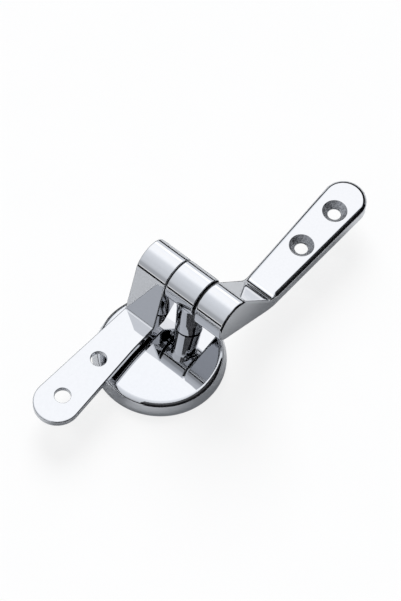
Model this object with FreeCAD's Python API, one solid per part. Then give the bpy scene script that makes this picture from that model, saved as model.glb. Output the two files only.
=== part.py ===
import FreeCAD, Part
import math
import os

# Eccentric toilet seat hinge: a round base that bolts to the pan, a post that stands off its
# centre, and two cast leaves that swing on one pin. The seat leaf lies forward, the lid leaf back.
# Millimetres. Origin under the centre of the base, +X along the barrel, -Y to the front, +Z up.

# Base disc, slightly domed and cast with a hollow underside
disc_radius = 27.5
disc_height = 7.4
disc_edge_height = 6.6
dome_rise = 1.0
disc_draft_deg = 16.1
shoulder_round = 2.7
disc_wall = 2.6
disc_floor = 2.4
rim_lift = 0.3
rib_thick = 1.8
rib_count = 6
stud_radius = 4.0
stud_cover = 1.4
stud_boss_wall = 3.0

# Soft pad under the base
pad_thick = 1.5
pad_clearance = 0.2

# Post, its screw and washer; the post stands off centre so that turning the base adjusts the seat
post_from_rim = 11.1
post_turn_deg = 6.6
stem_radius = 5.75
foot_gap = 0.6
foot_inset = 1.0
neck_radius = 6.6
neck_height = 5.0
neck_drop = 1.85
spigot_radius = 4.0
spigot_short = 0.05
turning_clearance = 0.05
screw_radius = 2.5
screw_length = 13.0
thread_clearance = 0.05
screw_head_radius = 4.6
screw_head_height = 2.5
screw_socket_across = 3.0
screw_socket_depth = 1.5
washer_radius = 5.3
washer_thick = 1.0
washer_clearance = 0.2
well_clearance = 0.6
well_wall = 2.0
thread_run_out = 1.5

# Barrel of three knuckles on one pin
axis_height = 36.8
knuckle_radius = 8.75
post_knuckle_length = 13.9
seat_knuckle_length = 14.8
lid_knuckle_length = 14.1
seat_gap = 0.5
lid_gap = 1.0
knuckle_edge = 0.4
pin_radius = 3.0
pin_chamfer = 0.5
pin_reach = 10.6
pin_clearance = 0.05
bush_wall = 1.4
bush_length = 9.8
flange_thick = 0.4
flange_radius = 7.6
blind_room = 1.0

# Screw holes and flare, alike in both leaves
screw_spacing = 22.0
hole_rim_round = 0.3
flare_round = 60.0

# Seat leaf
seat_top = 13.9
seat_thick = 3.2
seat_lean_deg = 12.5
seat_crank_thick = 6.0
seat_bend_round = 0.8
seat_heel_round = 6.0
seat_web_round = 2.0
seat_edge = 0.6
seat_reach = 74.0
seat_end_radius = 9.8
seat_end_shift = 0.35
seat_inner_flare = 26.0
seat_outer_flare = 9.0
seat_hole_radius = 3.33
seat_hole_first = 39.0
seat_sink_depth = 1.1

# Lid leaf, a tray open underneath
lid_top = 19.0
lid_edge_height = 6.8
lid_skin = 3.2
lid_wall = 2.6
lid_slope_deg = 51.5
lid_under_deg = 27.0
lid_under_reach = 10.7
lid_valley_round = 7.8
lid_heel_round = 7.0
lid_belly_round = 10.0
lid_edge = 1.0
lid_brow_round = 2.2
lid_rim_round = 0.5
lid_reach = 92.6
lid_end_radius = 9.4
lid_end_shift = 1.0
lid_inner_flare = 9.0
lid_outer_flare = 26.0
lid_hole_shift = 0.2
lid_hole_radius = 2.8
lid_hole_first = 53.6
lid_sink_radius = 5.2
lid_crank_skin = 3.4
lid_core_drop = 5.0
lid_core_round = 1.2

# How near two directions or lengths must be to count as the same
same_direction_deg = 2.5
same_slope_deg = 8.0
same_length = 0.01

# Places that follow from the sizes above
turn = math.radians(post_turn_deg)
post_offset = disc_radius - post_from_rim
post_x = post_offset * math.sin(turn)
post_y = post_offset * math.cos(turn)
draft = math.tan(math.radians(disc_draft_deg))
floor_under = disc_height - disc_floor
foot_radius = stem_radius - foot_inset
post_face = post_knuckle_length / 2
seat_inner = -(post_face + seat_gap)
seat_outer = seat_inner - seat_knuckle_length
lid_inner = post_face + lid_gap
lid_outer = lid_inner + lid_knuckle_length
bush_bore = pin_radius + pin_clearance
bush_radius = bush_bore + bush_wall
seat_middle = (seat_inner + seat_outer) / 2 - seat_end_shift
lid_middle = (lid_inner + lid_outer) / 2 - lid_end_shift
lid_hole_x = (lid_inner + lid_outer) / 2 - lid_hole_shift

same_direction = math.cos(math.radians(same_direction_deg))
same_slope = math.cos(math.radians(same_slope_deg))

X_AXIS = FreeCAD.Vector(1, 0, 0)
Z_AXIS = FreeCAD.Vector(0, 0, 1)

os.makedirs("parts", exist_ok=True)


def side_point(y, z):
    """Point of a side profile, measured from the barrel axis along Y and from the pan along Z."""
    return FreeCAD.Vector(0, post_y + y, z)


def plan_point(x, y):
    """Point of a plan outline, measured from the post."""
    return FreeCAD.Vector(post_x + x, post_y + y, 0)


def rounded_face(corners):
    """Face with straight sides; each corner is a point and the radius that rounds it."""
    runs = []
    for index, (corner, radius) in enumerate(corners):
        before = (corners[index - 1][0] - corner).normalize()
        after = (corners[(index + 1) % len(corners)][0] - corner).normalize()
        half = before.getAngle(after) / 2
        cut = radius / math.tan(half)
        inward = (before + after).normalize()
        middle = corner + inward * (radius / math.sin(half) - radius)
        runs.append((corner + before * cut, middle, corner + after * cut, radius))
    edges = []
    for index, (start, middle, end, radius) in enumerate(runs):
        edges.append(Part.LineSegment(runs[index - 1][2], start).toShape())
        if radius > 0:
            edges.append(Part.Arc(start, middle, end).toShape())
    return Part.Face(Part.Wire(edges))


def cylinder(radius, start, axis, length):
    return Part.makeCylinder(radius, length, start, axis)


def barrel_cylinder(radius, x_from, x_to):
    """Cylinder about the barrel axis between two places along it."""
    start = FreeCAD.Vector(post_x + x_from, post_y, axis_height)
    return cylinder(radius, start, X_AXIS, x_to - x_from)


def across(face, x_from, x_to):
    """Side profile stretched along the barrel."""
    moved = face.translated(FreeCAD.Vector(post_x + x_from, 0, 0))
    return moved.extrude(X_AXIS * (x_to - x_from))


def upward(face, z_from, z_to):
    """Plan outline stretched upwards."""
    return face.translated(Z_AXIS * z_from).extrude(Z_AXIS * (z_to - z_from))


def tangent_point(outside, centre, radius, side):
    """Where the straight side from an outside point touches a round end."""
    arm = outside - centre
    angle = math.atan2(arm.y, arm.x) + side * math.acos(radius / arm.Length)
    return centre + FreeCAD.Vector(math.cos(angle), math.sin(angle), 0) * radius


def leaf_plan(inner_side, outer_side, way, middle, reach, end_radius, inset):
    """Plan of a leaf: knuckle width at first, then flared to a full round end; inset shrinks it.
    Each side is its place along the barrel and how far from the barrel its flare starts."""
    out = math.copysign(1, outer_side[0])
    inner = inner_side[0] + out * inset
    outer = outer_side[0] - out * inset
    radius = end_radius - inset
    centre = plan_point(middle, way * (reach - end_radius))
    tip = plan_point(middle, way * (reach - inset))
    back = -way * 2 * knuckle_radius
    inner_flare = plan_point(inner, way * inner_side[1])
    outer_flare = plan_point(outer, way * outer_side[1])
    inner_touch = tangent_point(inner_flare, centre, radius, -way * out)
    outer_touch = tangent_point(outer_flare, centre, radius, way * out)
    body = rounded_face(
        [
            (plan_point(inner, back), 0),
            (inner_flare, flare_round),
            (inner_touch, 0),
            (outer_touch, 0),
            (outer_flare, flare_round),
            (plan_point(outer, back), 0),
        ]
    )
    cap_arc = Part.Arc(inner_touch, tip, outer_touch).toShape()
    cap_line = Part.LineSegment(outer_touch, inner_touch).toShape()
    cap = Part.Face(Part.Wire([cap_arc, cap_line]))
    return body.fuse(cap).removeSplitter().Faces[0]


def side_edges(leaf):
    """Edges between a leaf's sides and its profile, each with its number."""
    edges = []
    for number, edge in enumerate(leaf.Edges, 1):
        direction = edge.tangentAt(sum(edge.ParameterRange) / 2)
        along_barrel = is_straight(edge) and abs(direction.x) > same_direction
        upright = is_straight(edge) and abs(direction.z) > same_direction
        if not along_barrel and not (upright and is_smooth(leaf, edge)):
            edges.append((number, edge))
    return edges


def soften_sides(leaf, radius):
    """Round every edge between a leaf's sides and its profile, as casting and polishing leave it."""
    return leaf.makeFillet(radius, [edge for number, edge in side_edges(leaf)])


def lid_round(corner):
    """Size of the round at a corner of the lid leaf: wide on the plate's brow, small on its rim."""
    if corner.y > post_y + lid_outer_flare:
        if abs(corner.z - lid_top) < same_length:
            return lid_brow_round
        if abs(corner.z - lid_top + lid_edge_height) < same_length:
            return lid_rim_round
    return lid_edge


def soften_lid(leaf):
    """Round the lid leaf's side edges; the round changes size through the crank's two bends."""
    rounds = []
    for number, edge in side_edges(leaf):
        sizes = [lid_round(edge.valueAt(place)) for place in edge.ParameterRange]
        rounds.append((number, *sizes))
    document = FreeCAD.newDocument("lid_edges")
    sharp = document.addObject("Part::Feature", "sharp")
    sharp.Shape = leaf
    soft = document.addObject("Part::Fillet", "soft")
    soft.Base = sharp
    soft.Edges = rounds
    document.recompute()
    softened = soft.Shape.copy()
    FreeCAD.closeDocument(document.Name)
    return softened


def is_straight(edge):
    return isinstance(edge.Curve, Part.Line)


def soften_hole_rims(leaf, z):
    """Round the rim of every hole in a leaf's top, as polishing leaves it."""
    rims = []
    for edge in leaf.Edges:
        level = abs(edge.BoundBox.ZMin - z) < same_length and abs(edge.BoundBox.ZMax - z) < same_length
        if level and edge.isClosed():
            rims.append(edge)
    return leaf.makeFillet(hole_rim_round, rims)


def is_smooth(solid, edge):
    """True where the two faces of an edge run into each other without a corner."""
    faces = solid.ancestorsOfType(edge, Part.Face)
    middle = edge.valueAt(sum(edge.ParameterRange) / 2)
    normals = [face.normalAt(*face.Surface.parameter(middle)) for face in faces]
    return abs(normals[0].dot(normals[1])) > same_slope


def tangent_lean(angle_deg, side):
    """Point on the knuckle and direction of the straight face that leaves it at that steepness."""
    angle = math.radians(angle_deg)
    normal_y = side * math.sin(angle)
    normal_z = math.cos(angle)
    touch = (normal_y * knuckle_radius, axis_height + normal_z * knuckle_radius)
    return touch, (side * normal_z, -abs(normal_y))


def at_height(touch, direction, z):
    """Y of a straight profile face where it reaches a height."""
    return touch[0] + direction[0] / direction[1] * (z - touch[1])


def make_base_disc():
    crown = disc_edge_height + dome_rise
    wall_top = disc_radius - disc_edge_height * draft
    blank = Part.makeCone(
        disc_radius - rim_lift * draft, disc_radius - crown * draft, crown - rim_lift,
        Z_AXIS * rim_lift, Z_AXIS,
    )
    dome_radius = (wall_top ** 2 + dome_rise ** 2) / (2 * dome_rise)
    disc = blank.common(Part.makeSphere(dome_radius, Z_AXIS * (crown - dome_radius)))
    corner = [edge for edge in disc.Edges if abs(edge.BoundBox.ZMin - disc_edge_height) < same_length]
    disc = disc.makeFillet(shoulder_round, corner)
    recess_radius = disc_radius - disc_wall
    hollow_top = recess_radius - floor_under * draft
    recess = cylinder(recess_radius, FreeCAD.Vector(), Z_AXIS, pad_thick)
    hollow = Part.makeCone(
        recess_radius - pad_thick * draft, hollow_top, floor_under - pad_thick,
        Z_AXIS * pad_thick, Z_AXIS,
    )
    well_radius = washer_radius + well_clearance
    stud_boss_radius = stud_radius + stud_boss_wall
    post_foot = FreeCAD.Vector(post_x, post_y, rim_lift)
    boss_height = floor_under - rim_lift
    post_floor = FreeCAD.Vector(post_x, post_y, floor_under)
    post_seat = cylinder(foot_radius, post_floor, Z_AXIS, disc_height - floor_under)
    bosses = [
        cylinder(stud_boss_radius, Z_AXIS * rim_lift, Z_AXIS, boss_height),
        cylinder(well_radius + well_wall, post_foot, Z_AXIS, boss_height),
    ]
    outer_limit = cylinder(recess_radius, FreeCAD.Vector(), Z_AXIS, floor_under)
    for index in range(rib_count):
        rib = Part.makeBox(
            recess_radius, rib_thick, floor_under - pad_thick,
            FreeCAD.Vector(0, -rib_thick / 2, pad_thick),
        )
        angle = 360 / rib_count * (index + 0.5) + 90 - post_turn_deg
        rib.rotate(FreeCAD.Vector(), Z_AXIS, angle)
        bosses.append(rib)
    disc = disc.cut(recess.fuse(hollow))
    kept = [boss.common(outer_limit) for boss in bosses]
    disc = disc.fuse(kept + [post_seat]).removeSplitter()
    stud_length = disc_height - stud_cover - rim_lift
    stud_hole = cylinder(stud_radius, Z_AXIS * rim_lift, Z_AXIS, stud_length)
    well = cylinder(well_radius, post_foot, Z_AXIS, floor_under - rim_lift)
    spigot_hole = cylinder(spigot_radius + turning_clearance, post_foot, Z_AXIS, disc_height)
    return disc.cut([stud_hole, well, spigot_hole]).removeSplitter()


def make_base_pad():
    pad = cylinder(disc_radius - disc_wall - pad_clearance, FreeCAD.Vector(), Z_AXIS, pad_thick)
    stud_opening = stud_radius + stud_boss_wall + pad_clearance
    post_opening = washer_radius + well_clearance + well_wall + pad_clearance
    post_foot = FreeCAD.Vector(post_x, post_y, 0)
    openings = [
        cylinder(stud_opening, FreeCAD.Vector(), Z_AXIS, pad_thick),
        cylinder(post_opening, post_foot, Z_AXIS, pad_thick),
    ]
    return pad.cut(openings)


def make_knuckle_post():
    knuckle = barrel_cylinder(knuckle_radius, -post_face, post_face)
    rims = [edge for edge in knuckle.Edges if isinstance(edge.Curve, Part.Circle)]
    knuckle = knuckle.makeFillet(knuckle_edge, rims)
    foot = FreeCAD.Vector(post_x, post_y, disc_height)
    stem_length = axis_height - disc_height - foot_gap
    stem = cylinder(stem_radius, foot + Z_AXIS * foot_gap, Z_AXIS, stem_length)
    foot_ring = cylinder(foot_radius, foot, Z_AXIS, foot_gap)
    neck_foot = FreeCAD.Vector(post_x, post_y, axis_height - knuckle_radius - neck_drop)
    neck = Part.makeCone(stem_radius, neck_radius, neck_height, neck_foot, Z_AXIS)
    spigot_length = disc_floor - spigot_short
    spigot = cylinder(spigot_radius, foot, -Z_AXIS, spigot_length)
    post = knuckle.fuse([neck, stem, foot_ring, spigot]).removeSplitter()
    thread_foot = foot - Z_AXIS * spigot_length
    thread_depth = screw_length - washer_thick - spigot_short + thread_run_out
    thread = cylinder(screw_radius + thread_clearance, thread_foot, Z_AXIS, thread_depth)
    pin_bore = barrel_cylinder(pin_radius, -post_face, post_face)
    return post.cut([thread, pin_bore])


def make_post_washer():
    foot = FreeCAD.Vector(post_x, post_y, floor_under - washer_thick)
    ring = cylinder(washer_radius, foot, Z_AXIS, washer_thick)
    return ring.cut(cylinder(screw_radius + washer_clearance, foot, Z_AXIS, washer_thick))


def make_post_screw():
    seat = FreeCAD.Vector(post_x, post_y, floor_under - washer_thick)
    head = cylinder(screw_head_radius, seat, -Z_AXIS, screw_head_height)
    shank = cylinder(screw_radius, seat, Z_AXIS, screw_length)
    corner_radius = screw_socket_across / math.sqrt(3)
    socket_foot = seat - Z_AXIS * screw_head_height
    corners = []
    for index in range(6):
        angle = math.radians(60 * index)
        spoke = FreeCAD.Vector(math.cos(angle), math.sin(angle), 0)
        corners.append((socket_foot + spoke * corner_radius, 0))
    socket = rounded_face(corners).extrude(Z_AXIS * screw_socket_depth)
    return head.fuse(shank).removeSplitter().cut(socket)


def make_hinge_pin():
    pin = barrel_cylinder(pin_radius, -(post_face + pin_reach), post_face + pin_reach)
    ends = [edge for edge in pin.Edges if isinstance(edge.Curve, Part.Circle)]
    return pin.makeChamfer(pin_chamfer, ends)


def make_bush(inner_x):
    """Flanged sleeve pressed into a leaf, its flange in the gap beside the post knuckle."""
    out = math.copysign(1, inner_x)
    sleeve_ends = sorted((inner_x, inner_x + out * bush_length))
    flange_ends = sorted((inner_x - out * flange_thick, inner_x))
    sleeve = barrel_cylinder(bush_radius, *sleeve_ends)
    flange = barrel_cylinder(flange_radius, *flange_ends)
    bore_ends = (min(flange_ends + sleeve_ends), max(flange_ends + sleeve_ends))
    return sleeve.fuse(flange).cut(barrel_cylinder(bush_bore, *bore_ends)).removeSplitter()


def blind_bore(inner_x):
    """Hole for a bush, closed at the leaf's outer end."""
    out = math.copysign(1, inner_x)
    ends = sorted((inner_x, inner_x + out * (bush_length + blind_room)))
    return barrel_cylinder(bush_radius, *ends)


def make_seat_leaf():
    steep = 90 - seat_lean_deg
    touch, fall = tangent_lean(steep, -1)
    bend_y = at_height(touch, fall, seat_top)
    inset = seat_crank_thick
    back_touch = (touch[0] + inset * math.sin(math.radians(steep)),
                  touch[1] - inset * math.cos(math.radians(steep)))
    under = seat_top - seat_thick
    heel_y = at_height(back_touch, fall, under)
    profile = rounded_face(
        [
            (side_point(*touch), 0),
            (side_point(bend_y, seat_top), seat_bend_round),
            (side_point(-2 * seat_reach, seat_top), 0),
            (side_point(-2 * seat_reach, under), 0),
            (side_point(heel_y, under), seat_heel_round),
            (side_point(*back_touch), 0),
        ]
    )
    spread = seat_knuckle_length
    body = across(profile, seat_outer - spread, seat_inner + spread)
    body = body.fuse(barrel_cylinder(knuckle_radius, seat_outer - spread, seat_inner + spread))
    body = body.removeSplitter()
    web = [edge for edge in body.Edges if is_web(edge, back_touch)]
    body = body.makeFillet(seat_web_round, web)
    inner_side = (seat_inner, seat_inner_flare)
    outer_side = (seat_outer, seat_outer_flare)
    plan = leaf_plan(inner_side, outer_side, -1, seat_middle, seat_reach, seat_end_radius, 0)
    leaf = body.common(upward(plan, 0, 2 * axis_height)).removeSplitter()
    leaf = soften_sides(leaf, seat_edge)
    cuts = [blind_bore(seat_inner)]
    for step in range(2):
        place = plan_point(seat_middle, -(seat_hole_first + step * screw_spacing))
        cuts.append(cylinder(seat_hole_radius, place, Z_AXIS, axis_height))
        wide = seat_hole_radius + seat_sink_depth
        foot = place + Z_AXIS * under
        cuts.append(Part.makeCone(wide, seat_hole_radius, seat_sink_depth, foot, Z_AXIS))
    return soften_hole_rims(leaf.cut(cuts), seat_top)


def is_web(edge, back_touch):
    """True for the inside corner where the back of the crank runs into the knuckle."""
    if not is_straight(edge) or abs(edge.tangentAt(0).x) < same_direction:
        return False
    middle = edge.valueAt(sum(edge.ParameterRange) / 2)
    arm = middle - FreeCAD.Vector(middle.x, post_y, axis_height)
    below = middle.z < axis_height and arm.y > back_touch[0] - knuckle_radius / 2
    return below and abs(arm.Length - knuckle_radius) < same_length


def make_lid_leaf():
    touch, fall = tangent_lean(lid_slope_deg, 1)
    valley_y = at_height(touch, fall, lid_top)
    under = lid_top - lid_edge_height
    angle = math.radians(lid_under_deg)
    belly = (-lid_under_reach * math.sin(angle), axis_height - lid_under_reach * math.cos(angle))
    belly_fall = (math.cos(angle), -math.sin(angle))
    belly_y = at_height(belly, belly_fall, under)
    heel_z = belly[1] + belly_fall[1] / belly_fall[0] * (-knuckle_radius - belly[0])
    profile = rounded_face(
        [
            (side_point(*touch), 0),
            (side_point(valley_y, lid_top), lid_valley_round),
            (side_point(2 * lid_reach, lid_top), 0),
            (side_point(2 * lid_reach, under), 0),
            (side_point(belly_y, under), lid_belly_round),
            (side_point(-knuckle_radius, heel_z), lid_heel_round),
            (side_point(-knuckle_radius, axis_height), 0),
        ]
    )
    spread = lid_knuckle_length
    body = across(profile, lid_inner - spread, lid_outer + spread)
    body = body.fuse(barrel_cylinder(knuckle_radius, lid_inner - spread, lid_outer + spread))
    inner_side = (lid_inner, lid_inner_flare)
    outer_side = (lid_outer, lid_outer_flare)
    plan = leaf_plan(inner_side, outer_side, 1, lid_middle, lid_reach, lid_end_radius, 0)
    leaf = body.removeSplitter().common(upward(plan, 0, 2 * axis_height)).removeSplitter()
    leaf = soften_lid(leaf)
    tray_top = lid_top - lid_skin
    slope = math.radians(lid_slope_deg)
    inner_touch = (touch[0] - lid_crank_skin * math.sin(slope),
                   touch[1] - lid_crank_skin * math.cos(slope))
    crest_z = axis_height - lid_core_drop
    crest_y = at_height(inner_touch, fall, crest_z)
    core_profile = rounded_face(
        [
            (side_point(crest_y, crest_z), lid_core_round),
            (side_point(at_height(inner_touch, fall, tray_top), tray_top), lid_core_round),
            (side_point(2 * lid_reach, tray_top), 0),
            (side_point(2 * lid_reach, 0), 0),
            (side_point(crest_y, 0), 0),
        ]
    )
    inner_plan = leaf_plan(inner_side, outer_side, 1, lid_middle, lid_reach, lid_end_radius,
                           lid_wall)
    core = across(core_profile, lid_inner, lid_outer).common(upward(inner_plan, 0, axis_height))
    cuts = [core, blind_bore(lid_inner)]
    sink_depth = lid_sink_radius - lid_hole_radius
    for step in range(2):
        place = plan_point(lid_hole_x, lid_hole_first + step * screw_spacing)
        cuts.append(cylinder(lid_hole_radius, place, Z_AXIS, axis_height))
        foot = place + Z_AXIS * (lid_top - sink_depth)
        cuts.append(Part.makeCone(lid_hole_radius, lid_sink_radius, sink_depth, foot, Z_AXIS))
    return soften_hole_rims(leaf.cut(cuts), lid_top)


nodes = {
    "base_disc": make_base_disc(),
    "base_pad": make_base_pad(),
    "knuckle_post": make_knuckle_post(),
    "post_washer": make_post_washer(),
    "post_screw": make_post_screw(),
    "hinge_pin": make_hinge_pin(),
    "seat_bush": make_bush(seat_inner),
    "lid_bush": make_bush(lid_inner),
    "seat_leaf": make_seat_leaf(),
    "lid_leaf": make_lid_leaf(),
}
for name, shape in nodes.items():
    shape.exportStep("parts/" + name + ".step")
    box = shape.BoundBox
    print(name, len(shape.Solids), shape.isValid(), round(shape.Volume, 1),
          [round(v, 2) for v in (box.XMin, box.YMin, box.ZMin, box.XMax, box.YMax, box.ZMax)])
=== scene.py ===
# %% [markdown]
# # A chrome toilet seat hinge
#
# The hinge comes in as ten CAD pieces that already have their true shape and place. This lesson
# gives them their finish and builds what these pieces leave plain or lack: the soft pad, the thread
# in the base and the web behind the seat leaf's crank. Then it sets up a small studio. A chromed
# casting has hardly any colour of its own: what one sees is the room round it. So most of the
# likeness is made by what stands in that room.

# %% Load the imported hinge
import math

import bmesh
import bpy
from mathutils import Matrix, Vector


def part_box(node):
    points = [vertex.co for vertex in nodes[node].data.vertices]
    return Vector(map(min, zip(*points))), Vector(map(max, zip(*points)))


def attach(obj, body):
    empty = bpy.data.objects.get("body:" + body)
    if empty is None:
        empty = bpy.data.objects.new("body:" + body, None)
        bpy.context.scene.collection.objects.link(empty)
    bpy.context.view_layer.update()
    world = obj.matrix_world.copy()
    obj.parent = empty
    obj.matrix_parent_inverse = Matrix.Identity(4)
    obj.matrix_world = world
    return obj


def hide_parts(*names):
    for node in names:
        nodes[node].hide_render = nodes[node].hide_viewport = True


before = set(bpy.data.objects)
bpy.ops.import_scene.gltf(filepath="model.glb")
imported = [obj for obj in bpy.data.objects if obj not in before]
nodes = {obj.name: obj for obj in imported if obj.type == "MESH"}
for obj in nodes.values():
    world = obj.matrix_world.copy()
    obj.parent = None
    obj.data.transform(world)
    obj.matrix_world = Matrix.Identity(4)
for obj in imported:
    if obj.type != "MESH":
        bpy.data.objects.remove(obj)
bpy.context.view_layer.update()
print("pieces:", ", ".join(sorted(nodes)))

# %% [markdown]
# ## Camera
#
# The picture is taken from the front right, steeply from above, with a long lens, so the leaves
# hardly taper. The horizon is tilted by a few degrees. A camera can be turned with Euler angles,
# but three axes written as the columns of a matrix leave no doubt about the order of the turns.

# %% Camera
view_azimuth = math.radians(35.53)
view_elevation = math.radians(59.88)
view_roll = math.radians(4.755)
view_distance = 1.0993
look_at = Vector((0.0079, 0.0143, 0.03636))


def direction(azimuth, elevation):
    """Unit vector towards a place in the room; azimuth 0 is the front, 90 degrees the right."""
    return Vector((
        math.sin(azimuth) * math.cos(elevation),
        -math.cos(azimuth) * math.cos(elevation),
        math.sin(elevation),
    ))


to_camera = direction(view_azimuth, view_elevation)
level_right = Vector((math.cos(view_azimuth), math.sin(view_azimuth), 0))
level_up = to_camera.cross(level_right)
image_right = level_right * math.cos(view_roll) + level_up * math.sin(view_roll)
image_up = level_up * math.cos(view_roll) - level_right * math.sin(view_roll)

camera_data = bpy.data.cameras.new("long_lens")
camera_data.lens = 165.7
camera_data.sensor_width = 36
camera_data.clip_start = 0.05
camera_data.clip_end = 50
camera = bpy.data.objects.new("camera", camera_data)
bpy.context.scene.collection.objects.link(camera)
turn = Matrix((image_right, image_up, to_camera)).transposed().to_4x4()
camera.matrix_world = Matrix.Translation(look_at + to_camera * view_distance) @ turn
bpy.context.scene.camera = camera
print("camera stands at", [round(v, 3) for v in camera.location])

# %% [markdown]
# ## Helpers for shader nodes
#
# Every finish below is a small node tree. Nodes can be placed by hand in the shader editor. In a
# script, a few helpers keep the cells short: one adds a node and fills in its inputs, one does sums,
# one starts a finish, and two give noise that sticks to the piece and bring it into a range.

# %% Shader helpers


def add_node(tree, kind, inputs=None, **settings):
    node = tree.nodes.new(kind)
    for name, value in settings.items():
        setattr(node, name, value)
    for name, value in (inputs or {}).items():
        node.inputs[name].default_value = value
    return node


def sums(tree, operation, first, second=None):
    """One Math node; each term is a number or another node's output."""
    node = add_node(tree, "ShaderNodeMath", operation=operation)
    for place, term in enumerate((first, second)):
        if term is None:
            continue
        if isinstance(term, (int, float)):
            node.inputs[place].default_value = term
        else:
            tree.links.new(term, node.inputs[place])
    return node.outputs["Value"]


def new_finish(name):
    """A node material with a Principled shader; returns the material, its tree and the shader."""
    finish = bpy.data.materials.new(name)
    finish.use_nodes = True
    tree = finish.node_tree
    tree.nodes.clear()
    output = add_node(tree, "ShaderNodeOutputMaterial")
    shader = add_node(tree, "ShaderNodeBsdfPrincipled")
    tree.links.new(shader.outputs["BSDF"], output.inputs["Surface"])
    return finish, tree, shader


def object_noise(tree, scale, detail=2.0, roughness=0.5):
    """Noise that sticks to the piece, because it is measured in the piece's own metres."""
    place = add_node(tree, "ShaderNodeTexCoord")
    noise = add_node(tree, "ShaderNodeTexNoise",
                     {"Scale": scale, "Detail": detail, "Roughness": roughness})
    tree.links.new(place.outputs["Object"], noise.inputs["Vector"])
    return noise.outputs["Fac"]


def spread(tree, value, low, high):
    """Maps a value from 0 to 1 onto a range."""
    mapped = add_node(tree, "ShaderNodeMapRange", {"To Min": low, "To Max": high})
    tree.links.new(value, mapped.inputs["Value"])
    return mapped.outputs["Result"]


def two_tones(tree, value, dark, light):
    """A colour that goes from one tone to another with a value; noise stays mostly near 0.5."""
    ramp = add_node(tree, "ShaderNodeValToRGB")
    ramp.color_ramp.elements[0].position = 0.35
    ramp.color_ramp.elements[0].color = (*dark, 1)
    ramp.color_ramp.elements[1].position = 0.65
    ramp.color_ramp.elements[1].color = (*light, 1)
    tree.links.new(value, ramp.inputs["Fac"])
    return ramp.outputs["Color"]


# %% [markdown]
# ## Where a casting is not mirror bright
#
# The buffing wheel reaches the outside of a casting only. Undersides are plated as they were cast,
# with a satin skin. The screw sinks are cut with a countersink bit, which leaves rings, and plating
# keeps them. Painting these places by hand would need a map. Here each is a rule instead: faces that
# look down below a certain height, and all that lies within a sink's radius of a screw axis.

# %% Rules for the dull places


def cast_skin(tree, below):
    """1 on faces that look down below a height, 0 elsewhere."""
    place = add_node(tree, "ShaderNodeTexCoord")
    facing = add_node(tree, "ShaderNodeSeparateXYZ")
    tree.links.new(place.outputs["Normal"], facing.inputs["Vector"])
    height = add_node(tree, "ShaderNodeSeparateXYZ")
    tree.links.new(place.outputs["Object"], height.inputs["Vector"])
    looks_down = sums(tree, "LESS_THAN", facing.outputs["Z"], -0.5)
    is_low = sums(tree, "LESS_THAN", height.outputs["Z"], below)
    return sums(tree, "MULTIPLY", looks_down, is_low)


def from_screw_axis(tree, axes):
    """Distance in metres from the nearest screw axis."""
    place = add_node(tree, "ShaderNodeTexCoord")
    flat = add_node(tree, "ShaderNodeVectorMath", {1: (1, 1, 0)}, operation="MULTIPLY")
    tree.links.new(place.outputs["Object"], flat.inputs[0])
    nearest = None
    for x, y in axes:
        gap = add_node(tree, "ShaderNodeVectorMath", {1: (x, y, 0)}, operation="DISTANCE")
        tree.links.new(flat.outputs["Vector"], gap.inputs[0])
        value = gap.outputs["Value"]
        nearest = value if nearest is None else sums(tree, "MINIMUM", nearest, value)
    return nearest


# %% [markdown]
# ## Polished chrome
#
# The two leaves, the post and the base are zinc castings, buffed and then plated with nickel and
# chromium. Chromium sends back about six tenths of the light, slightly more of the blue. Hand
# buffing leaves the surface flat to a few micrometres, which is enough to make a reflected line
# waver. A bump map gives exactly that.

# %% Polished chrome
sink_radius = 0.00525
ring_spacing = 0.00032
chromium_tones = (0.588, 0.596, 0.617), (0.600, 0.608, 0.629)
# Darker tones: painted shade for the screw sinks.
sink_shade_tones = (0.24, 0.245, 0.26), (0.50, 0.51, 0.53)
# Sockets of a Mix node for colours: several share a name, so they are taken by number.
mix_share, mix_first, mix_second, mix_result = 0, 6, 7, 2


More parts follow.
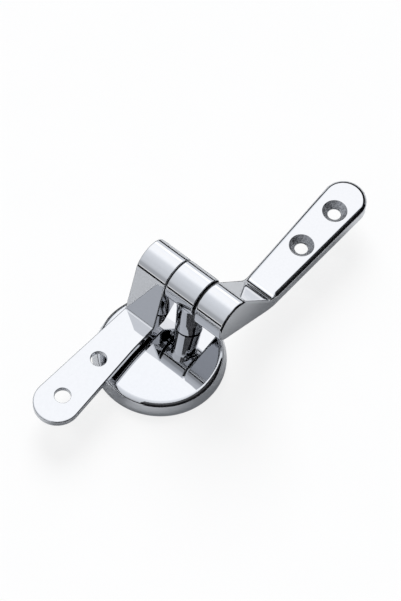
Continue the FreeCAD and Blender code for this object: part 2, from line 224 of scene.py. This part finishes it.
def polished_chrome(name, satin_below=None, sink_axes=()):
    """Mirror chrome, satin on the cast underside, ringed in the screw sinks, with painted shade in the
    sinks.
    """
    finish, tree, shader = new_finish(name)
    shader.inputs["Metallic"].default_value = 1.0
    haze = object_noise(tree, 900.0, 3.0)
    tint = two_tones(tree, haze, *chromium_tones)
    rough = spread(tree, haze, 0.01, 0.03)
    waver = add_node(tree, "ShaderNodeBump", {"Strength": 0.35, "Distance": 0.00002})
    tree.links.new(object_noise(tree, 170.0, 2.0, 0.45), waver.inputs["Height"])
    normal = waver.outputs["Normal"]
    if satin_below is not None:
        skin = cast_skin(tree, satin_below)
        rough = sums(tree, "ADD", rough, sums(tree, "MULTIPLY", skin, 0.28))
        grain = add_node(tree, "ShaderNodeBump", {"Strength": 0.5, "Distance": 0.00008})
        grain_height = sums(tree, "MULTIPLY", skin, object_noise(tree, 1800.0, 4.0, 0.6))
        tree.links.new(grain_height, grain.inputs["Height"])
        tree.links.new(normal, grain.inputs["Normal"])
        normal = grain.outputs["Normal"]
    if sink_axes:
        gap = from_screw_axis(tree, sink_axes)
        sink = sums(tree, "LESS_THAN", gap, sink_radius)
        chatter = object_noise(tree, 1300.0, 3.0, 0.6)
        # Painted shade: inside the screw sinks the colour goes darker than chrome, standing for the
        # shade in the recess.
        sink_shade_mix = add_node(tree, "ShaderNodeMix", data_type="RGBA")
        tree.links.new(sink, sink_shade_mix.inputs[mix_share])
        tree.links.new(tint, sink_shade_mix.inputs[mix_first])
        tree.links.new(two_tones(tree, chatter, *sink_shade_tones), sink_shade_mix.inputs[mix_second])
        tint = sink_shade_mix.outputs[mix_result]
        dull = sums(tree, "MULTIPLY", sink, spread(tree, chatter, 0.16, 0.40))
        rough = sums(tree, "ADD", rough, dull)
        wave = sums(tree, "SINE", sums(tree, "MULTIPLY", gap, 2 * math.pi / ring_spacing))
        ring_height = sums(tree, "MULTIPLY", sink, sums(tree, "ADD", wave, chatter))
        rings = add_node(tree, "ShaderNodeBump", {"Strength": 0.8, "Distance": 0.00004})
        tree.links.new(ring_height, rings.inputs["Height"])
        tree.links.new(normal, rings.inputs["Normal"])
        normal = rings.outputs["Normal"]
    tree.links.new(tint, shader.inputs["Base Color"])
    tree.links.new(rough, shader.inputs["Roughness"])
    tree.links.new(normal, shader.inputs["Normal"])
    return finish


lid_screws_x, lid_screws_y = 0.016685, 0.080891
screw_spacing = 0.022
lid_screw_axes = [(lid_screws_x, lid_screws_y + side * screw_spacing / 2) for side in (-1, 1)]
chrome = {
    "base_disc": polished_chrome("polished_chrome_base", satin_below=0.0055),
    "knuckle_post": polished_chrome("polished_chrome_post"),
    "seat_leaf": polished_chrome("polished_chrome_seat"),
    "lid_leaf": polished_chrome("polished_chrome_lid", satin_below=0.0165, sink_axes=lid_screw_axes),
}
for piece, finish in chrome.items():
    nodes[piece].data.materials[0] = finish
print("chromed:", ", ".join(chrome))

# %% [markdown]
# ## Turned steel
#
# Pin, washer and screw are turned from steel and zinc plated. A lathe leaves fine rings round the
# axis of turning. A wave texture in ring form, laid about that axis, gives the same fine grooves,
# and noise keeps the plating from looking painted on.

# %% Turned steel


def turned_steel(name, centre, ring_axis):
    finish, tree, shader = new_finish(name)
    shader.inputs["Metallic"].default_value = 1.0
    place = add_node(tree, "ShaderNodeTexCoord")
    centred = add_node(tree, "ShaderNodeVectorMath", {1: centre}, operation="SUBTRACT")
    tree.links.new(place.outputs["Object"], centred.inputs[0])
    rings = add_node(tree, "ShaderNodeTexWave", {"Scale": 900.0, "Distortion": 0.6, "Detail": 1.0},
                     wave_type="RINGS", rings_direction=ring_axis)
    tree.links.new(centred.outputs["Vector"], rings.inputs["Vector"])
    bloom = object_noise(tree, 320.0, 3.0)
    tree.links.new(two_tones(tree, bloom, (0.46, 0.47, 0.49), (0.60, 0.61, 0.63)),
                   shader.inputs["Base Color"])
    tree.links.new(spread(tree, bloom, 0.22, 0.38), shader.inputs["Roughness"])
    grooves = add_node(tree, "ShaderNodeBump", {"Strength": 0.25, "Distance": 0.00002})
    tree.links.new(rings.outputs["Fac"], grooves.inputs["Height"])
    tree.links.new(grooves.outputs["Normal"], shader.inputs["Normal"])
    return finish


for piece, ring_axis in {"hinge_pin": "X", "post_washer": "Z", "post_screw": "Z"}.items():
    low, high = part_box(piece)
    nodes[piece].data.materials[0] = turned_steel("turned_steel_" + piece, (low + high) / 2, ring_axis)
    print("turned:", piece, [round(v * 1000, 1) for v in high - low], "mm")

# %% [markdown]
# ## Moulded nylon
#
# The two flanged bushes keep chrome from rubbing on chrome. They are moulded in near-black nylon,
# which has a faint grain from the mould and a dull shine. Only their rims show, as the dark lines
# between the knuckles.

# %% Moulded nylon


def moulded_nylon(name):
    finish, tree, shader = new_finish(name)
    shader.inputs["Specular IOR Level"].default_value = 0.4
    mould = object_noise(tree, 1400.0, 3.0, 0.55)
    tree.links.new(two_tones(tree, mould, (0.012, 0.012, 0.013), (0.030, 0.030, 0.032)),
                   shader.inputs["Base Color"])
    tree.links.new(spread(tree, mould, 0.40, 0.60), shader.inputs["Roughness"])
    grain = add_node(tree, "ShaderNodeBump", {"Strength": 0.3, "Distance": 0.00003})
    tree.links.new(mould, grain.inputs["Height"])
    tree.links.new(grain.outputs["Normal"], shader.inputs["Normal"])
    return finish


for piece in ("seat_bush", "lid_bush"):
    nodes[piece].data.materials[0] = moulded_nylon("moulded_nylon_" + piece)
print("moulded: seat_bush, lid_bush")

# %% [markdown]
# ## Soft pad under the base
#
# A thin foam pad lies in the recess under the base and keeps the metal off the glaze. It is stamped
# from sheet, so it is flat, with edges that the stamp has rounded over, and openings for the two
# bosses of the base. A filled 2-D curve with a small bevel makes that form in one go: three circles,
# of which the inner two become holes.

# %% Soft pad
pad_low, pad_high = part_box("base_pad")
pad_radius = (pad_high.x - pad_low.x) / 2
pad_thick = pad_high.z - pad_low.z
pad_round = 0.00008
stud_opening = 0.0072
post_opening = 0.0081
post_low, post_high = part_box("post_washer")
post_axis = (post_low + post_high) / 2
pad_circles = (
    (0.0, 0.0, pad_radius - pad_round),
    (0.0, 0.0, stud_opening + pad_round),
    (post_axis.x, post_axis.y, post_opening + pad_round),
)
pad_outline = bpy.data.curves.new("pad_outline", "CURVE")
pad_outline.dimensions = "2D"
pad_outline.fill_mode = "BOTH"
pad_outline.resolution_u = 24
pad_outline.extrude = pad_thick / 2 - pad_round
pad_outline.bevel_depth = pad_round
pad_outline.bevel_resolution = 2
arm = 4 / 3 * math.tan(math.pi / 8)
for x, y, radius in pad_circles:
    ring = pad_outline.splines.new("BEZIER")
    ring.bezier_points.add(3)
    ring.use_cyclic_u = True
    for quarter, point in enumerate(ring.bezier_points):
        out = Vector((math.cos(quarter * math.pi / 2), math.sin(quarter * math.pi / 2), 0))
        along = Vector((-out.y, out.x, 0))
        point.co = Vector((x, y, 0)) + out * radius
        point.handle_left = point.co - along * radius * arm
        point.handle_right = point.co + along * radius * arm
pad_curve = bpy.data.objects.new("pad_curve", pad_outline)
pad_mesh = bpy.data.meshes.new_from_object(pad_curve)
pad_mesh.transform(Matrix.Translation((0, 0, (pad_low.z + pad_high.z) / 2)))
bpy.data.objects.remove(pad_curve)
pad = bpy.data.objects.new("soft_pad", pad_mesh)
bpy.context.scene.collection.objects.link(pad)

foam, tree, shader = new_finish("closed_cell_foam")
cells = add_node(tree, "ShaderNodeTexVoronoi", {"Scale": 3200.0})
place = add_node(tree, "ShaderNodeTexCoord")
tree.links.new(place.outputs["Object"], cells.inputs["Vector"])
cell_size = sums(tree, "MULTIPLY", cells.outputs["Distance"], 1.2)
tree.links.new(two_tones(tree, cell_size, (0.66, 0.66, 0.64), (0.76, 0.76, 0.74)),
               shader.inputs["Base Color"])
tree.links.new(spread(tree, object_noise(tree, 500.0), 0.70, 0.90), shader.inputs["Roughness"])
pores = add_node(tree, "ShaderNodeBump", {"Strength": 0.6, "Distance": 0.00008})
tree.links.new(cells.outputs["Distance"], pores.inputs["Height"])
tree.links.new(pores.outputs["Normal"], shader.inputs["Normal"])
pad.data.materials.clear()
pad.data.materials.append(foam)
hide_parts("base_pad")
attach(pad, "base")
print("pad of", round(pad_thick * 1000, 2), "mm,", len(pad.data.polygons), "faces")

# %% [markdown]
# ## Thread in the base
#
# The bolt that holds the hinge to the pan screws into the middle of the base. Its thread is a
# triangular ridge that winds up the hole. A screw modifier can sweep a ridge; a ring of points that
# turns and climbs step by step gives the same with fewer settings, and its ends can be closed.

# %% Stud thread
thread_pitch = 0.00125
thread_outer = 0.00402
thread_inner = 0.00342
thread_from, thread_to = 0.0010, 0.0055
steps_each_turn = 48
run_out_turns = 0.5
ridge_foot = 0.46
ridge_crest = 0.07

thread_mesh = bpy.data.meshes.new("stud_thread")
build = bmesh.new()
turns = (thread_to - thread_from) / thread_pitch
steps = round(turns * steps_each_turn)
ridge = ((thread_outer, -ridge_foot), (thread_inner, -ridge_crest),
         (thread_inner, ridge_crest), (thread_outer, ridge_foot))
rows = []
for step in range(steps + 1):
    wind = 2 * math.pi * step / steps_each_turn
    rise = thread_from + thread_pitch * step / steps_each_turn
    from_end = min(step, steps - step) / steps_each_turn
    fade = min(1.0, from_end / run_out_turns)
    row = []
    for radius, lift in ridge:
        reach = thread_outer - (thread_outer - radius) * fade
        row.append(build.verts.new((math.cos(wind) * reach, math.sin(wind) * reach,
                                    rise + lift * thread_pitch)))
    rows.append(row)
for lower, upper in zip(rows, rows[1:]):
    for i in range(len(ridge)):
        j = (i + 1) % len(ridge)
        build.faces.new((lower[i], lower[j], upper[j], upper[i]))
build.faces.new(rows[0][::-1])
build.faces.new(rows[-1])
bmesh.ops.recalc_face_normals(build, faces=build.faces)
build.to_mesh(thread_mesh)
build.free()
thread = bpy.data.objects.new("stud_thread", thread_mesh)
bpy.context.scene.collection.objects.link(thread)
thread.data.materials.append(chrome["base_disc"])
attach(thread, "base")
print("thread of", round(turns, 1), "turns,", len(thread.data.polygons), "faces")

# %% [markdown]
# ## Web behind the seat leaf's crank
#
# Behind the crank of the seat leaf the casting goes on as a web: from the back of the knuckle it
# slopes down to the heel, so that the crank can't break off. It is a straight bar with one side
# outline, so the outline is drawn once, with two rounded corners, and stretched along the barrel.
# A bevel modifier then rounds its long edges as buffing does. The web shares the leaf's finish. It
# lies a hair inside the leaf's sides, because two faces in one plane would flicker, and its front
# edge is sunk into the leaf, so that no seam shows.

# %% Seat web
axis_height = 0.0368
barrel_radius = 0.00875
side_gap = 0.00052
web_width = 0.01476
web_bottom = 0.0107
heel_round = 0.0010
back_round = 0.0070
web_edge = 0.0006
knuckle_low, knuckle_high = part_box("knuckle_post")
axis_y = (knuckle_low.y + knuckle_high.y) / 2
web_right = knuckle_low.x - side_gap
web_left = web_right - web_width


def behind_axis(y, z):
    """A place in the web's side outline; y counts from the barrel's axis, z from the floor."""
    return Vector((0, axis_y + y, z))


def rounded_corner(before, corner, after, radius, steps=10):
    """Points of the arc that rounds a corner of an outline."""
    first = (before - corner).normalized()
    last = (after - corner).normalized()
    half = first.angle(last) / 2
    middle = corner + (first + last).normalized() * (radius / math.sin(half))
    start = (corner + first * (radius / math.tan(half)) - middle).normalized()
    end = (corner + last * (radius / math.tan(half)) - middle).normalized()
    return [middle + start.slerp(end, step / steps) * radius for step in range(steps + 1)]


heel_tip = behind_axis(-0.0134, web_bottom)
heel = behind_axis(-0.0070, web_bottom)
back_foot = behind_axis(barrel_radius, 0.0277)
back_top = behind_axis(barrel_radius, axis_height)
sunk_in_leaf = [behind_axis(0.0045, 0.0318), behind_axis(-0.0042, 0.0314),
                behind_axis(-0.0076, 0.0262), behind_axis(-0.0100, 0.0145)]
outline = [heel_tip, *rounded_corner(heel_tip, heel, back_foot, heel_round),
           *rounded_corner(heel, back_foot, back_top, back_round), back_top, *sunk_in_leaf]
web_mesh = bpy.data.meshes.new("seat_web")
build = bmesh.new()
rows = [[build.verts.new((x, point.y, point.z)) for point in outline] for x in (web_left, web_right)]
build.faces.new(rows[0][::-1])
build.faces.new(rows[1])
for i in range(len(outline)):
    j = (i + 1) % len(outline)
    build.faces.new((rows[0][i], rows[0][j], rows[1][j], rows[1][i]))
bmesh.ops.recalc_face_normals(build, faces=build.faces)
build.to_mesh(web_mesh)
build.free()
web = bpy.data.objects.new("seat_web", web_mesh)
bpy.context.scene.collection.objects.link(web)
web.data.materials.append(chrome["seat_leaf"])
web.data.polygons.foreach_set("use_smooth", [True] * len(web.data.polygons))
web.data.set_sharp_from_angle(angle=math.radians(25))
soften = web.modifiers.new("buffed_edges", "BEVEL")
soften.width = web_edge
soften.segments = 4
soften.limit_method = "ANGLE"
soften.angle_limit = math.radians(60)
soften.harden_normals = True
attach(web, "seat")
print("web of", round(web_width * 1000, 2), "mm along the barrel")

# %% [markdown]
# ## Studio: a room with one bright cloth
#
# A photographer of chrome hangs a bright cloth behind and above the piece. Away from the cloth the
# room grows gently darker and a little cooler, down to the horizon. The world shader does this with
# one colour ramp over the angle from the middle of the cloth. Camera, mirror and glass rays all see
# this room. Light that falls on dull surfaces is turned down, so that a pale floor stays pale and
# does not burn out.

# %% Bright cloth
scene = bpy.context.scene
scene.view_settings.view_transform = "Standard"

cloth_direction = direction(math.radians(-150), math.radians(55))
brightest = 1.6
cloth_fade = {0: 1.56, 18: 1.54, 25: 1.38, 33: 1.18, 42: 1.09, 52: 1.05, 66: 0.97, 81: 0.93, 90: 0.82,
              98: 0.60, 180: 0.45}
cool_beyond = 40
less_red, more_blue = 0.03, 0.045
dull_level = 0.36
room = bpy.data.worlds.new("cloth_room")
scene.world = room
room.use_nodes = True
tree = room.node_tree
tree.nodes.clear()
ray = add_node(tree, "ShaderNodeTexCoord")
towards = add_node(tree, "ShaderNodeVectorMath", {1: cloth_direction}, operation="DOT_PRODUCT")
tree.links.new(ray.outputs["Generated"], towards.inputs[0])
half_turns = sums(tree, "DIVIDE", sums(tree, "ARCCOSINE", towards.outputs["Value"]), math.pi)
ramp = add_node(tree, "ShaderNodeValToRGB")
stops = ramp.color_ramp.elements
while len(stops) < len(cloth_fade):
    stops.new(0.5)
for stop, (degrees, level) in zip(stops, cloth_fade.items()):
    share = level / brightest
    cool = min(1.0, degrees / cool_beyond)
    stop.position = degrees / 180
    stop.color = (share * (1 - less_red * cool), share, share * (1 + more_blue * cool), 1)
tree.links.new(half_turns, ramp.inputs["Fac"])


def seen_by_eye_or_mirror(tree):
    """1 for rays from the camera, from a mirror or through glass, 0 for light on dull surfaces."""
    path = add_node(tree, "ShaderNodeLightPath")
    eye_or_mirror = sums(tree, "MAXIMUM", path.outputs["Is Camera Ray"], path.outputs["Is Glossy Ray"])
    return sums(tree, "MAXIMUM", eye_or_mirror, path.outputs["Is Transmission Ray"])


strength = spread(tree, seen_by_eye_or_mirror(tree), dull_level * brightest, brightest)
shine = add_node(tree, "ShaderNodeBackground")
tree.links.new(ramp.outputs["Color"], shine.inputs["Color"])
tree.links.new(strength, shine.inputs["Strength"])
world_output = add_node(tree, "ShaderNodeOutputWorld")
tree.links.new(shine.outputs["Background"], world_output.inputs["Surface"])
print("bright cloth towards", [round(v, 2) for v in cloth_direction])

# %% [markdown]
# ## Key lamp and floor
#
# One wide lamp shines through the cloth from the back left and gives the hinge a soft shadow to
# stand in. The floor is a sheet of pale paper. Most of what eye and mirror see of it is plain white,
# which lifts it to a white ground, and the rest is lit paper, which keeps the shadow. From below the
# sheet is clear, so that the underside of the hinge can be looked at. A grey mat, seen by the chrome
# alone, is painted shade: the low faces mirror a floor darker than the one the camera sees, as if in
# shadow.

# %% Key lamp and floor
lamp_data = bpy.data.lights.new("key_lamp", "SUN")
lamp_data.energy = 3.2
lamp_data.angle = math.radians(38)
lamp = bpy.data.objects.new("key_lamp", lamp_data)
scene.collection.objects.link(lamp)
lamp.rotation_mode = "QUATERNION"
lamp.rotation_quaternion = direction(math.radians(-135), math.radians(40)).to_track_quat("Z", "Y")
lamp.visible_glossy = False


def shader_blend(tree, share, first, second):
    """Goes from one surface to another as the share goes from 0 to 1."""
    blend = add_node(tree, "ShaderNodeMixShader")
    for place, source in enumerate((share, first, second)):
        tree.links.new(source, blend.inputs[place])
    return blend.outputs["Shader"]


def paper_finish(name, dark, light, white_share=0.0, white_level=1.0, clear_from_below=False):
    """Dull paper; a share of what eye and mirror see of it is plain white."""
    paper, tree, shader = new_finish(name)
    fibre = object_noise(tree, 30.0, 3.0)
    tree.links.new(two_tones(tree, fibre, dark, light), shader.inputs["Base Color"])
    shader.inputs["Roughness"].default_value = 0.9
    shader.inputs["Specular IOR Level"].default_value = 0.0
    surface = shader.outputs["BSDF"]
    if white_share:
        white = add_node(tree, "ShaderNodeEmission", {"Color": (1, 1, 1, 1), "Strength": white_level})
        share = sums(tree, "MULTIPLY", seen_by_eye_or_mirror(tree), white_share)
        surface = shader_blend(tree, share, surface, white.outputs["Emission"])
    if clear_from_below:
        side = add_node(tree, "ShaderNodeNewGeometry")
        clear = add_node(tree, "ShaderNodeBsdfTransparent")
        surface = shader_blend(tree, side.outputs["Backfacing"], surface, clear.outputs["BSDF"])
    tree.links.new(surface, tree.nodes["Material Output"].inputs["Surface"])
    return paper


def stage_sheet(name, corners, faces, finish, mirror_only=False):
    """A sheet of the studio. A mirror-only sheet shows in the chrome and nowhere else."""
    mesh = bpy.data.meshes.new(name)
    mesh.from_pydata(corners, [], faces)
    mesh.materials.append(finish)
    sheet = bpy.data.objects.new(name, mesh)
    scene.collection.objects.link(sheet)
    if mirror_only:
        sheet.visible_camera = False
        sheet.visible_diffuse = False
        sheet.visible_shadow = False
    return sheet


def square_sheet(name, half, z, finish, mirror_only=False):
    corners = [(-half, -half, z), (half, -half, z), (half, half, z), (-half, half, z)]
    return stage_sheet(name, corners, [(0, 1, 2, 3)], finish, mirror_only)


floor_half, floor_height = 3.0, -0.0002
mat_half, mat_height = 0.25, 0.0001
pale_paper = paper_finish("pale_paper", (0.895, 0.895, 0.900), (0.915, 0.915, 0.920),
                          white_share=0.82, clear_from_below=True)
square_sheet("floor", floor_half, floor_height, pale_paper)
# Painted shade: a grey sheet that only the chrome sees, so the low faces mirror a darker floor than
# the camera sees.
mirror_shade_grey = paper_finish("mirror_shade_grey", (0.74, 0.75, 0.76), (0.77, 0.78, 0.79))
square_sheet("mat", mat_half, mat_height, mirror_shade_grey, mirror_only=True)
print("floor of", 2 * floor_half, "m, mat of", 2 * mat_half, "m")

# %% [markdown]
# ## Cards round the hinge
#
# White on white would leave chrome without edges. Dark card draws them: low strips that stand round
# the hinge, a low and a tall card on the right, and two cards that lie on the floor. Black gives
# the crisp lines and charcoal the softer darks. One glowing strip behind the hinge does the opposite:
# it is a painted highlight, a white card that glows brighter than the room for mirror rays. It shows
# in the web, the base shows the web, and so the gap beside the post stays bright. All of them show in
# the chrome only, so a view from another side stays clear.

# %% Cards
black_card = paper_finish("black_card", (0.008, 0.008, 0.009), (0.014, 0.014, 0.015))
charcoal_card = paper_finish("charcoal_card", (0.075, 0.075, 0.077), (0.095, 0.095, 0.097))
# Painted highlight: a white card that glows at 1.8 for mirror rays, seen in the chrome only.
glowing_white_card = paper_finish("glowing_white_card", (0.8, 0.8, 0.8), (0.82, 0.82, 0.82),
                         white_share=1.0, white_level=1.8)
barrel_low, barrel_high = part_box("hinge_pin")
barrel = (barrel_low + barrel_high) / 2
bend_deg = 5
arc_deg = 10
card_height = 0.0003


def standing_card(name, from_deg, to_deg, distance, bottom, top, finish):
    """A card that stands round the barrel between two azimuths."""
    steps = max(2, round((to_deg - from_deg) / bend_deg))
    corners = []
    for step in range(steps + 1):
        out = direction(math.radians(from_deg + (to_deg - from_deg) * step / steps), 0) * distance
        corners += [(barrel.x + out.x, barrel.y + out.y, z) for z in (bottom, top)]
    faces = [(2 * i, 2 * i + 2, 2 * i + 3, 2 * i + 1) for i in range(steps)]
    return stage_sheet(name, corners, faces, finish, mirror_only=True)


def lying_card(name, places):
    """A black card that lies on the floor; its corners are places in metres."""
    corners = [(x, y, card_height) for x, y in places]
    return stage_sheet(name, corners, [tuple(range(len(corners)))], black_card, mirror_only=True)


def arc_about_base(radius, from_deg, to_deg):
    """Places on the floor at one distance from the middle of the base."""
    places = []
    for degrees in range(from_deg, to_deg + 1, arc_deg):
        out = direction(math.radians(degrees), 0) * radius
        places.append((out.x, out.y))
    return places


# Azimuths from and to in degrees, then distance, bottom and top in metres, then the finish.
standing_cards = {
    # Painted highlight: the glowing white strip, seen in the chrome only.
    "glowing_strip": (180, 216, 0.350, 0.155, 0.262, glowing_white_card),
    "back_strip": (150, 215, 0.112, 0.020, 0.043, black_card),
    "left_strip": (-145, -75, 0.150, 0.0, 0.060, charcoal_card),
    "front_strip": (-75, 14, 0.140, 0.002, 0.027, black_card),
    "low_card": (14, 150, 0.500, 0.0, 0.300, black_card),
    "tall_card": (14, 150, 0.500, 0.300, 0.940, charcoal_card),
}
for name, card in standing_cards.items():
    standing_card(name, *card)

right_near, right_far, right_half = 0.047, 0.55, 0.45
right_corners = [(0.20, -right_half), (right_far, -right_half),
                 (right_far, right_half), (right_near, 0.30)]
lying_card("right_card", right_corners + arc_about_base(right_near, 20, 90)[::-1])
rear_near, rear_far = 0.0285, 0.065
lying_card("rear_card", arc_about_base(rear_near, 160, 270) + arc_about_base(rear_far, 160, 270)[::-1])
print("standing:", ", ".join(standing_cards), "- lying: right_card, rear_card")
